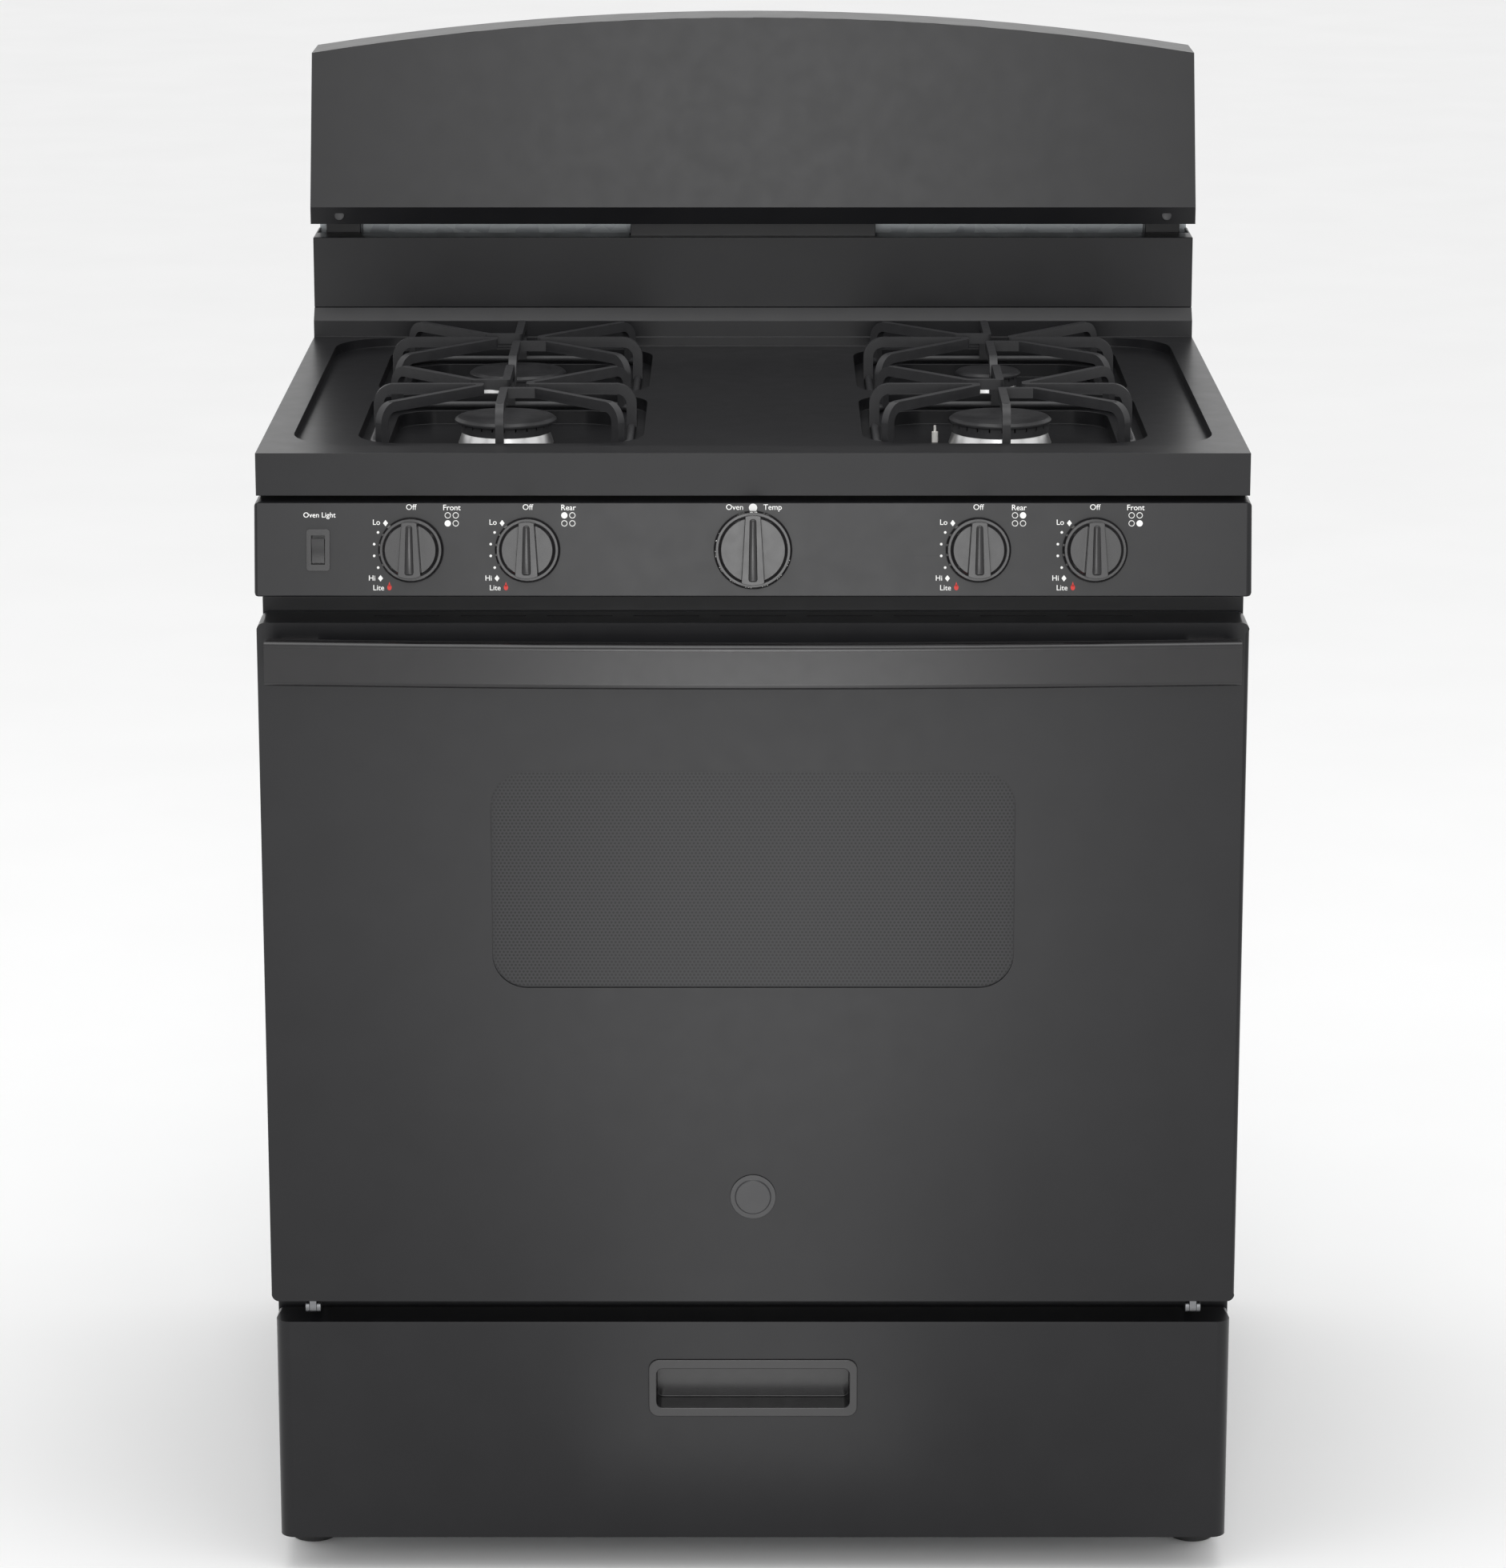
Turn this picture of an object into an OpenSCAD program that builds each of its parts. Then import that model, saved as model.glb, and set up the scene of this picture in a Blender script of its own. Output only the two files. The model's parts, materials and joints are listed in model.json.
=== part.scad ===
// Freestanding gas range, 30 inch class. Millimetres, +Z up, front towards -Y.
// The origin is on the floor, under the middle of the range.

/* [Overall] */
// Width over the backguard and the control panel
range_w = 762; // [620:1:920]
// Depth from the front of the handle to the wall behind
range_d = 712; // [660:1:900]
// Thickness of the body's sheet steel
sheet = 1.5; // [1:0.1:2.5]

/* [Heights, from the floor up] */
// Gap under the drawer, filled by the levelling legs
leg_h = 28; // [20:1:60]
// Height of the drawer front
drawer_h = 182; // [150:1:230]
// Gap between the drawer and the door, where the hinge pivots sit
hinge_gap = 19; // [17:1:24]
// Height of the oven door
door_h = 548; // [460:1:660]
// Gap between the door and the control panel
door_gap = 20; // [6:1:30]
// Height of the control panel
panel_h = 71; // [60:1:90]
// Gap between the control panel and the cooktop apron
apron_gap = 4; // [2:1:10]
// Height of the cooktop apron
apron_h = 33; // [30:1:50]
// Height of the lower back panel and the riser under it
back_panel_h = 85; // [70:1:110]
// Gap over the lower back panel, where the oven flue ends
vent_gap = 13; // [8:1:25]
// Height of the backguard at its middle
backguard_h = 175; // [120:1:220]

/* [Oven door] */
// Thickness of the door
door_t = 45; // [38:1:60]
// Width of the window opening
window_w = 405; // [300:1:460]
// Height of the window opening
window_h = 173; // [120:1:240]
// Distance from the door's face to the front of the handle
handle_reach = 50; // [40:1:65]
// Height of the handle bar
handle_h = 35; // [24:1:45]
// Thickness of the handle bar
handle_t = 16; // [10:1:20]
// Sagitta of the handle's bow
handle_bow = 14; // [6:1:20]
// Radius of the door's hinge pins
hinge_pin_r = 3; // [2.5:0.1:3.5]

/* [Oven] */
// Width of the oven cavity
oven_w = 610; // [480:1:640]
// Height of the oven cavity
oven_h = 455; // [380:1:500]
// Depth of the oven cavity
oven_depth = 478; // [400:1:560]
// Vertical spacing of the rack guides
guide_pitch = 80; // [60:1:90]

/* [Cooktop] */
// Depth of the deck below the rim
deck_drop = 8; // [5:1:12]
// Depth of the burner bowls below the deck
bowl_drop = 10; // [6:1:14]
// Depth of the dish inside each bowl
dish_drop = 11; // [8:1:14]
// Side of a grate
grate_w = 210; // [190:1:216]
// Height of a grate's top over the bowl floor
grate_h = 38; // [32:1:48]
// Width of a grate's bars
bar_w = 6.5; // [5:0.5:8]
// Diameters of the burner caps: left front, left rear, right rear, right front
cap_d = [81.5, 81, 55, 82];
// Diameters of the burner heads, in the same order
head_d = [72, 72, 48, 78];

/* [Controls] */
// Diameter of a burner knob's skirt
knob_d = 50; // [40:1:56]
// Diameter of the oven knob's skirt
oven_knob_d = 60; // [50:1:64]
// Height of a knob over the panel
knob_h = 27; // [20:1:34]
// Radius of the valve stems
stem_r = 3; // [2.5:0.1:4]
// Travel when a knob is pushed in
push = 3; // [2:0.5:4]

/* [Hidden] */
$fn = 96;
eps = 0.01;
fit = 0.05;        // running clearance of pins and stems
gap = 0.3;         // clearance of pieces that lie on one another and lift off
clear = 0.5;       // clearance round pieces that pass through a sheet

half_w = range_w / 2;
side_x = half_w - 2;              // outer face of the side panels
front_y = -range_d / 2;
wall_y = range_d / 2;
rear_y = wall_y - 6;              // inner face of the rear panel
door_y = front_y + handle_reach;  // face of the door
body_y = door_y + door_t;         // face of the front frame
frame_y = body_y + 2;             // back of the front frame
door_back_y = body_y - 3;         // back of the door's inner panel

drawer_top = leg_h + drawer_h;
door_z0 = drawer_top + hinge_gap;
door_z1 = door_z0 + door_h;
panel_z0 = door_z1 + door_gap;
panel_z1 = panel_z0 + panel_h;
apron_z = panel_z1 + apron_gap;
rim_z = apron_z + apron_h;
back_panel_z = rim_z + back_panel_h;
guard_z = back_panel_z + vent_gap;
top_z = guard_z + backguard_h;

// Oven cavity
oven_x = oven_w / 2;
oven_z0 = door_z0 + 61;
oven_z1 = oven_z0 + oven_h;
oven_y1 = frame_y + oven_depth;
insulation = 40;
rack_r = 3.5;
rack_x = oven_x - 7;
rack_z = [oven_z0 + 30 + guide_pitch, oven_z0 + 30 + 3 * guide_pitch];
flue_x = 106;
flue_y = [wall_y - 60, wall_y - 32];
flue_z = [oven_z1 - 45, oven_z1 - 8];

// Door hinge
hinge_x = side_x - 31;
hinge_y = door_y + 10;
hinge_z = door_z0 - 7;
knuckle_r = hinge_pin_r + 2;
knuckle_w = 5.2;
cheek_t = 3;

// Window
window_z = door_z0 + 344;

// Control panel, leaning back
panel_lean = 13;
panel_tilt = atan(panel_lean / panel_h);
knob_z = panel_z0 + panel_h / 2;
knob_x = [-half_w + 120, -half_w + 209, half_w - 209, half_w - 120];
switch_x = -half_w + 49;
valve_depth = 50;
pipe_depth = 60;
pipe_r = 10;
stem_in = 24;

// Cooktop
deck_z = rim_z - deck_drop;
bowl_z = deck_z - bowl_drop;
top_sheet = 2;
apron_y = door_y + 20;
riser_y = wall_y - 80;
well_y = [apron_y + 33, riser_y - 2];
well_x = half_w - 24;
burner_x = 198;
burner_y = [wall_y - 434, wall_y - 208];
grate_c = [wall_y - 441, wall_y - 209];
bowl_w = 224;
bowl_l = 228;
bar_h = 8;
bend_r = 16;
wire_r = 3;
lap = 0.5;         // how far a grate's welded pieces run into one another
ring_half = grate_w / 2 - bar_h / 2;
ring_corner = 32;
dish_z = bowl_z - dish_drop;
throat_z = dish_z - 12;
head_z = dish_z + 9.5;
head_h = 7.6;
seat_z = head_z + head_h;
burner_at = [[-burner_x, burner_y[0]], [-burner_x, burner_y[1]],
             [burner_x, burner_y[1]], [burner_x, burner_y[0]]];

// Drawer
drawer_y = door_y + 5;
drawer_back_y = body_y - 4;
drawer_x = half_w - 3;
drawer_box_x = side_x - 49;
drawer_box_z = [leg_h + 18, leg_h + 122];
drawer_depth = 460;
mouth_x = side_x - 29;
pull_w = 165.6;
pull_h = 47.6;
pull_z = leg_h + 126.8;
shelf_z = leg_h + 60;

// Backguard
guard_lip = 15;
guard_y = wall_y - 84;
guard_lean = 22;
guard_skin = 3;
arch_rise = 30;
guard_taper = 3.3;

// ---- helpers ----

// A box from its two corners
module span(a, b) {
    translate(a)
        cube(b - a);
}

// A rounded rectangle round the origin
module rounded(w, h, r) {
    square([w - 2 * r, h], center = true);
    square([w, h - 2 * r], center = true);
    for (x = [-1, 1], y = [-1, 1])
        translate([x * (w / 2 - r), y * (h / 2 - r)])
            circle(r);
}

// A flat shape drawn in X and Z, from y0 to y1
module facing(y0, y1) {
    translate([0, y1, 0])
        rotate([90, 0, 0])
            linear_extrude(y1 - y0)
                children();
}

// A profile drawn in Y and Z, from x0 to x1
module along_x(x0, x1) {
    translate([x0, 0, 0])
        rotate([90, 0, 90])
            linear_extrude(x1 - x0)
                children();
}

// Both sides of the range
module both() {
    children();
    mirror([1, 0, 0])
        children();
}

// The control panel's face at a place: X right, Y up the panel, Z out of it
function panel_y(z) = door_y + panel_lean * (z - panel_z0) / panel_h;
module on_panel(x, z = knob_z) {
    translate([x, panel_y(z), z])
        rotate([90 - panel_tilt, 0, 0])
            children();
}

// ---- body ----

module side_panels() {
    color([0.16, 0.16, 0.17]) both() {
        span([side_x - sheet, frame_y, leg_h], [side_x, rear_y, apron_z]);
        span([side_x - 16, frame_y, leg_h], [side_x, frame_y + sheet, apron_z]);
        span([side_x - 16, rear_y - sheet, leg_h], [side_x, rear_y, apron_z]);
    }
}

module rear_panel() {
    color([0.62, 0.63, 0.64]) difference() {
        span([-side_x, rear_y, leg_h], [side_x, rear_y + sheet, guard_z - gap]);
        // gas inlet
        translate([inlet_x, rear_y, inlet_z])
            rotate([90, 0, 0])
                cylinder(r = 22, h = 4 * sheet, center = true);
        // cord gland
        translate([-inlet_x, rear_y, inlet_z])
            rotate([90, 0, 0])
                cylinder(r = gland_r, h = 4 * sheet, center = true);
        // cooling louvres
        for (i = [0:4], x = [-1, 1])
            span([x * 180 - 70, rear_y - sheet, apron_z - 60 + 14 * i - 30],
                 [x * 180 + 70, rear_y + 2 * sheet, apron_z - 54 + 14 * i - 30]);
    }
}
inlet_x = 280;
inlet_z = leg_h + 92;
gland_r = 11;
inlet_r = 10.67;

module base_frame() {
    rail_x = side_x - sheet;
    color([0.55, 0.56, 0.57]) {
        both() difference() {
            union() {
                span([rail_x - 40, frame_y + 20, leg_h], [rail_x, rear_y - 2, leg_h + 2]);
                span([rail_x - 2, frame_y + 20, leg_h], [rail_x, rear_y - 2, leg_h + 22]);
            }
            for (y = leg_y)
                translate([leg_x, y, leg_h])
                    cylinder(r = leg_r + fit, h = 10, center = true);
        }
        span([-rail_x + 40, rear_y - 24, leg_h], [rail_x - 40, rear_y - 2, leg_h + 2]);
        span([-rail_x + 40, rear_y - 4, leg_h], [rail_x - 40, rear_y - 2, leg_h + 22]);
    }
}
leg_x = side_x - 22;
leg_y = [frame_y + 36, rear_y - 40];
leg_r = 4;

module levelling_legs() {
    color([0.12, 0.12, 0.12]) both() for (y = leg_y)
        translate([leg_x, y, 0]) {
            cylinder(r = 18, h = 7);
            cylinder(r1 = 18, r2 = 9, h = 12);
            cylinder(r = leg_r, h = leg_h + 16);
            translate([0, 0, leg_h - 7])
                cylinder(r = 7.5, h = 6.5, $fn = 6);
        }
}

module front_frame() {
    color([0.14, 0.14, 0.15]) difference() {
        span([-side_x, body_y, leg_h], [side_x, frame_y, apron_z]);
        span([-oven_x, body_y - 1, oven_z0], [oven_x, frame_y + 1, oven_z1]);
        span([-mouth_x, body_y - 1, leg_h + 10], [mouth_x, frame_y + 1, drawer_top - 8]);
        span([-side_x + 28, body_y - 1, panel_z0 + 4],
             [side_x - 28, frame_y + 1, apron_z - 10]);
        both()
            span([hinge_x - 7, body_y - 1, hinge_z - 8], [hinge_x + 7, frame_y + 1, hinge_z + 8]);
    }
}

module oven_liner() {
    wall = sheet;
    color([0.2, 0.21, 0.24]) {
        difference() {
            span([-oven_x - wall, frame_y, oven_z0 - wall],
                 [oven_x + wall, oven_y1 + wall, oven_z1 + wall]);
            span([-oven_x, frame_y - 1, oven_z0], [oven_x, oven_y1, oven_z1]);
            // flame slot in the floor
            span([-oven_x + 30, frame_y + 40, oven_z0 - 5],
                 [oven_x - 30, oven_y1 - 40, oven_z0 + 1]);
            // flue and lamp
            span([-flue_x + 6, oven_y1 - 1, flue_z[0] + 6],
                 [flue_x - 6, oven_y1 + 5, flue_z[1] - 6]);
            translate([lamp_x, oven_y1, lamp_z])
                rotate([90, 0, 0])
                    cylinder(r = lamp_r + clear, h = 10, center = true);
        }
        // rack guides
        both() for (i = [0:4])
            span([rack_x - rack_r - 2, frame_y + 30, guide_z(i) - 6],
                 [oven_x + wall / 2, oven_y1 - 20, guide_z(i)]);
    }
}
function guide_z(i) = oven_z0 + 30 + i * guide_pitch - rack_r - gap;
lamp_x = -oven_x + 70;
lamp_z = oven_z1 - 60;
lamp_r = 22;

module oven_insulation() {
    wall = sheet;
    lo = [oven_x + wall, frame_y + 4, oven_z0 - wall];
    color([0.85, 0.8, 0.55]) difference() {
        span([-lo[0] - insulation, lo[1], lo[2]],
             [lo[0] + insulation, oven_y1 + wall + insulation, oven_z1 + wall + insulation]);
        span([-lo[0], lo[1] - 1, lo[2] - 1], [lo[0], oven_y1 + wall, oven_z1 + wall]);
        span([-flue_x - clear, oven_y1, flue_z[0] - clear],
             [flue_x + clear, oven_y1 + 2 * insulation, flue_z[1] + clear]);
        translate([lamp_x, oven_y1, lamp_z])
            rotate([90, 0, 0])
                cylinder(r = lamp_r + 6, h = 4 * insulation, center = true);
    }
}

module oven_floor_panel() {
    color([0.2, 0.21, 0.24]) difference() {
        span([-oven_x + 2, frame_y + 4, oven_z0], [oven_x - 2, oven_y1 - 4, oven_z0 + sheet]);
        both() for (i = [0:6])
            span([oven_x - 24, frame_y + 40 + 58 * i, oven_z0 - 1],
                 [oven_x - 14, frame_y + 76 + 58 * i, oven_z0 + 5]);
    }
}

module oven_burner() {
    z = oven_z0 - 28;
    color([0.6, 0.58, 0.55]) {
        translate([0, frame_y + 70, z])
            rotate([-90, 0, 0]) difference() {
                cylinder(r = 12, h = oven_depth - 130);
                translate([0, 0, 2])
                    cylinder(r = 10.5, h = oven_depth);
            }
        // hanger straps up to the liner's floor
        for (y = [frame_y + 20, oven_y1 - 36]) {
            span([-oven_x + 10, y, z - 14], [oven_x - 10, y + 12, z - 12]);
            both()
                span([oven_x - 12, y, z - 14], [oven_x - 10, y + 12, oven_z0 - sheet]);
        }
        // hot surface igniter on its bracket
        span([16, frame_y + 120, z - 10], [28, frame_y + 190, z + 6]);
        span([11, frame_y + 150, z - 4], [17, frame_y + 160, z]);
        // stands from the straps to the tube
        span([-6, frame_y + 72, z - 14], [6, frame_y + 78, z - 11]);
        span([-6, frame_y + 20, z - 14], [6, frame_y + 78, z - 12]);
        span([-6, oven_y1 - 70, z - 14], [6, oven_y1 - 30, z - 12]);
        span([-6, oven_y1 - 70, z - 14], [6, oven_y1 - 64, z - 11]);
    }
}

module oven_lamp() {
    color([0.95, 0.9, 0.75])
        translate([lamp_x, oven_y1, lamp_z]) rotate([90, 0, 0]) {
            translate([0, 0, -sheet - 30])
                cylinder(r = lamp_r - 6, h = 30 + sheet + 2);
            translate([0, 0, -sheet - 4])
                cylinder(r = lamp_r + 4, h = 4);
            cylinder(r = 14, h = 22);
            translate([0, 0, 22])
                sphere(r = 14);
        }
}

module oven_flue() {
    wall = sheet;
    color([0.5, 0.5, 0.5]) difference() {
        union() {
            span([-flue_x, oven_y1 + sheet, flue_z[0]], [flue_x, flue_y[1], flue_z[1]]);
            span([-flue_x, flue_y[0], flue_z[0]], [flue_x, flue_y[1], guard_z - gap]);
        }
        span([-flue_x + wall, oven_y1, flue_z[0] + wall],
             [flue_x - wall, flue_y[1] - wall, flue_z[1] - wall]);
        span([-flue_x + wall, flue_y[0] + wall, flue_z[0] + wall],
             [flue_x - wall, flue_y[1] - wall, guard_z + 1]);
    }
}

// ---- cooktop ----

module bowl_outline(grow = 0) {
    for (x = [-1, 1], y = grate_c)
        translate([x * burner_x, y])
            rounded(bowl_w + 2 * grow, bowl_l + 2 * grow, 40 + grow);
}

module dish_outline(grow = 0) {
    ledge = 44;
    for (x = [-1, 1], y = grate_c)
        translate([x * burner_x, y])
            rounded(bowl_w - ledge + 2 * grow, bowl_l - ledge + 2 * grow, 30 + grow);
}

module well_outline(grow = 0) {
    translate([0, (well_y[0] + well_y[1]) / 2])
        rounded(2 * well_x + 2 * grow, well_y[1] - well_y[0] + 2 * grow, 55 + grow);
}

module cooktop() {
    x = half_w - 1;
    t = top_sheet;
    color([0.13, 0.13, 0.14]) difference() {
        union() {
            difference() {
                span([-x, apron_y, apron_z], [x, rear_y, rim_z]);
                span([-x + t, apron_y + t, apron_z - 1], [x - t, rear_y + 1, rim_z - t]);
            }
            // pressed well and bowls, with the sheet's thickness round them
            translate([0, 0, deck_z - t])
                linear_extrude(deck_drop)
                    well_outline(t);
            translate([0, 0, bowl_z - t])
                linear_extrude(bowl_drop)
                    bowl_outline(t);
            translate([0, 0, dish_z - t])
                linear_extrude(dish_drop)
                    dish_outline(t);
            // rear riser and the flange that the lower back panel stands on
            along_x(-x, x)
                polygon([[riser_y, rim_z - t], [riser_y, rim_z + 14], [riser_y + 10, rim_z + 24],
                         [rear_y, rim_z + 24], [rear_y, rim_z + 24 - t],
                         [riser_y + 11, rim_z + 24 - t], [riser_y + t, rim_z + 13],
                         [riser_y + t, rim_z - t]]);
        }
        translate([0, 0, deck_z])
            linear_extrude(deck_drop + 1)
                well_outline();
        translate([0, 0, bowl_z])
            linear_extrude(bowl_drop + 1)
                bowl_outline();
        translate([0, 0, dish_z])
            linear_extrude(dish_drop + 1)
                dish_outline();
        // the top behind the riser is open, and the flange lets the flue through
        span([-x + t, riser_y + t, apron_z], [x - t, rear_y + 1, rim_z + 13]);
        span([-flue_x - clear, flue_y[0] - clear, rim_z], [flue_x + clear, flue_y[1] + clear, guard_z]);
        for (p = burner_at)
            translate([p[0], p[1], dish_z - 10])
                cylinder(r = throat_r + clear, h = 20);
        translate([electrode_at[0], electrode_at[1], dish_z - 10])
            cylinder(r = electrode_r + 1, h = 20);
    }
}
throat_r = 16;
electrode_r = 2.5;
electrode_at = [burner_x - 52, burner_y[0] + 4];

// Radii of a burner's dark head and of the bright base that flares out under it
function head_r(i) = head_d[i] / 2;
function base_r(i) = head_r(i) + 2.4;

module burner_bases() {
    color([0.85, 0.85, 0.86]) for (i = [0:3])
        translate([burner_at[i][0], burner_at[i][1], dish_z]) difference() {
            union() {
                cylinder(r1 = base_r(i), r2 = head_r(i) - 1, h = head_z - dish_z);
                translate([0, 0, throat_z - dish_z])
                    cylinder(r = throat_r, h = dish_z - throat_z + 1);
            }
            translate([0, 0, -40])
                cylinder(r = throat_r - 3, h = 80);
        }
}

module burner_heads() {
    color([0.2, 0.2, 0.21]) for (i = [0:3])
        translate([burner_at[i][0], burner_at[i][1], head_z]) difference() {
            cylinder(r = head_r(i), h = head_h);
            translate([0, 0, -1])
                cylinder(r = throat_r - 3, h = 40);
            translate([0, 0, 3])
                cylinder(r = head_r(i) - 5, h = 40);
            // flame ports
            for (a = [0:15:359])
                rotate([0, 0, a])
                    translate([head_r(i) - 7, -0.6, head_h - 3])
                        cube([12, 1.2, 8]);
        }
}

module spark_electrodes() {
    color([0.93, 0.93, 0.9])
        translate([electrode_at[0], electrode_at[1], dish_z - 14]) {
            cylinder(r = electrode_r, h = 22);
            cylinder(r = 1, h = 27);
            cylinder(r = 6, h = 14 - top_sheet);
        }
}

module cap(i) {
    color([0.14, 0.14, 0.15])
        translate([burner_at[i][0], burner_at[i][1], seat_z + gap]) {
            cylinder(r = cap_d[i] / 2, h = 2.2);
            translate([0, 0, 2.2])
                cylinder(r1 = cap_d[i] / 2, r2 = cap_d[i] / 2 - 2.5, h = 2);
            translate([0, 0, -3])
                cylinder(r = head_r(i) - 5 - 2 * gap, h = 3);
        }
}

// A round post as tall as a bar, at a point of a grate's plan
module post(p) {
    translate([p[0], p[1], grate_h - bar_h])
        cylinder(r = bar_w / 2, h = bar_h, $fn = 16);
}

// The bend and the leg at the end q of a bar that comes from p
module bar_foot(p, q) {
    d = q - p;
    translate([q[0], q[1], grate_h])
        rotate([0, 0, atan2(d[1], d[0])]) {
            translate([-bend_r, 0, -bend_r])
                rotate([90, 0, 0])
                    rotate_extrude(angle = 90, $fn = 40)
                        translate([bend_r - bar_h, -bar_w / 2])
                            square([bar_h, bar_w]);
            translate([-bar_h, -bar_w / 2, wire_r + gap - grate_h])
                cube([bar_h, bar_w, grate_h - bend_r - wire_r - gap + lap]);
        }
}

// A grate's bars on one side: a bent rod and a hairpin. The other side is turned by 180 degrees.
grate_tip = 20;
grate_reach = grate_w / 2;
grate_corner = grate_reach - 10;
grate_ends = [
    [[0, grate_tip], [0, grate_reach]],
    [[-26, grate_tip], [-grate_corner, grate_corner]],
    [[-grate_tip, 0], [-grate_reach, 0]],
    [[-grate_tip, -8], [-grate_corner, -grate_corner]]];
grate_links = [
    [[0, grate_tip], [-26, grate_tip]],
    [[-grate_tip, 0], [-grate_tip, -8]]];

module grate_half() {
    for (e = grate_ends) {
        reach = norm(e[1] - e[0]);
        hull() {
            post(e[0]);
            post(e[0] + (e[1] - e[0]) * (reach - bend_r) / reach);
        }
        bar_foot(e[0], e[1]);
    }
    for (e = grate_links)
        hull() {
            post(e[0]);
            post(e[1]);
        }
}

module grate_ring() {
    s = ring_half - ring_corner;
    translate([0, 0, wire_r + gap]) for (a = [0:90:270])
        rotate([0, 0, a]) {
            translate([ring_half, 0, 0])
                rotate([90, 0, 0])
                    cylinder(r = wire_r, h = 2 * (s + lap), center = true, $fn = 16);
            translate([s, s, 0])
                rotate_extrude(angle = 90, $fn = 40)
                    translate([ring_corner, 0])
                        circle(wire_r, $fn = 16);
        }
}

module grate(i) {
    y = grate_c[i == 1 || i == 2 ? 1 : 0];
    color([0.13, 0.13, 0.14])
        translate([burner_at[i][0], y, bowl_z]) {
            grate_half();
            rotate([0, 0, 180])
                grate_half();
            grate_ring();
        }
}

// ---- gas train ----

tube_r = 8;
tube_z = [throat_z - tube_r - 2, throat_z - tube_r - 20];
tube_y = panel_y(knob_z) + 74;

module burner_tubes() {
    color([0.75, 0.75, 0.76]) for (i = [0:3]) {
        rear = i == 1 || i == 2 ? 1 : 0;
        z = tube_z[rear];
        a = [knob_x[i], tube_y];
        b = burner_at[i];
        d = b - a;
        difference() {
            union() {
                translate([a[0], a[1], z])
                    rotate([0, 0, atan2(d[1], d[0])])
                        rotate([0, 90, 0])
                            cylinder(r = tube_r, h = norm(d));
                translate([b[0], b[1], z - tube_r])
                    cylinder(r = throat_r, h = throat_z - z + tube_r);
            }
            translate([a[0], a[1], z])
                rotate([0, 0, atan2(d[1], d[0])])
                    translate([-1, 0, 0])
                        rotate([0, 90, 0])
                            cylinder(r = tube_r - 1.5, h = norm(d));
            translate([b[0], b[1], z - tube_r + 2])
                cylinder(r = throat_r - 3, h = 60);
        }
    }
}

module gas_manifold() {
    color([0.6, 0.6, 0.62]) difference() {
        union() {
            on_panel(0)
                translate([0, 0, -pipe_depth])
                    rotate([0, 90, 0])
                        cylinder(r = pipe_r, h = 2 * manifold_x, center = true);
            for (x = concat(knob_x, [0]))
                on_panel(x)
                    translate([0, 0, -pipe_depth])
                        cylinder(r = 7, h = pipe_depth - valve_depth);
        }
        on_panel(0)
            translate([-5, 0, -pipe_depth])
                rotate([0, 90, 0])
                    cylinder(r = pipe_r - 2, h = 2 * manifold_x, center = true);
    }
}
manifold_x = half_w - 42;

module valve(x, w, tall) {
    on_panel(x) difference() {
        translate([-w / 2, -12, -valve_depth])
            cube([w, tall, valve_depth - 14]);
        translate([0, 0, -stem_in - push - 4])
            cylinder(r = stem_r + fit, h = 60);
    }
}

module gas_valves() {
    color([0.72, 0.6, 0.35]) for (i = [0:3]) {
        rear = i == 1 || i == 2 ? 1 : 0;
        valve(knob_x[i], 22, 44);
        translate([knob_x[i], tube_y - 2, tube_z[rear]])
            rotate([90, 0, 0])
                cylinder(r = 4, h = 30);
    }
}

module oven_thermostat() {
    color([0.72, 0.72, 0.7])
        valve(0, 46, 40);
}

// Regulator at the lower back, its inlet nipple, and the pipe up to the manifold
module gas_regulator() {
    r = 6;
    x = manifold_x + 24;
    pipe_y = panel_y(knob_z) + pipe_depth * cos(panel_tilt);
    pipe_z = knob_z - pipe_depth * sin(panel_tilt);
    back = rear_y - 20;
    color([0.66, 0.66, 0.64]) {
        translate([inlet_x, wall_y - 1, inlet_z])
            rotate([90, 0, 0])
                cylinder(r = inlet_r, h = 40);
        span([inlet_x - 26, back - 24, inlet_z - 22], [inlet_x + 26, back + 10, inlet_z + 22]);
        translate([inlet_x - 40, back - 8, inlet_z])
            rotate([0, 90, 0])
                cylinder(r = 19, h = 20);
        // pipe
        translate([inlet_x, back, inlet_z])
            rotate([0, 90, 0])
                cylinder(r = r, h = x - inlet_x);
        translate([x, back, inlet_z])
            cylinder(r = r, h = pipe_z - inlet_z);
        translate([x, pipe_y, pipe_z])
            rotate([-90, 0, 0])
                cylinder(r = r, h = back - pipe_y);
        translate([manifold_x, pipe_y, pipe_z])
            rotate([0, 90, 0])
                cylinder(r = r, h = x - manifold_x);
        for (p = [[x, back, inlet_z], [x, back, pipe_z], [x, pipe_y, pipe_z]])
            translate(p)
                sphere(r = r);
    }
}

module spark_module() {
    color([0.9, 0.9, 0.88])
        span([-250, rear_y - 30, apron_z - 50], [-180, rear_y, apron_z - 14]);
}

// ---- controls ----

module control_panel() {
    t = 2;
    color([0.14, 0.14, 0.15]) difference() {
        along_x(-half_w, half_w)
            polygon([[door_y, panel_z0], [body_y, panel_z0], [body_y, panel_z1],
                     [door_y + panel_lean, panel_z1]]);
        along_x(-half_w + 3, half_w - 3)
            polygon([[door_y + t, panel_z0 + t], [body_y + 1, panel_z0 + t],
                     [body_y + 1, panel_z1 - t], [door_y + panel_lean + t, panel_z1 - t]]);
        for (x = concat(knob_x, [0]))
            on_panel(x)
                cylinder(r = stem_r + 2, h = 20, center = true);
        on_panel(switch_x)
            linear_extrude(20, center = true)
                square([13 + 2 * clear, 25 + 2 * clear], center = true);
    }
}

rocker_tilt = 8;
rocker_pin = 1.2;

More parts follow.
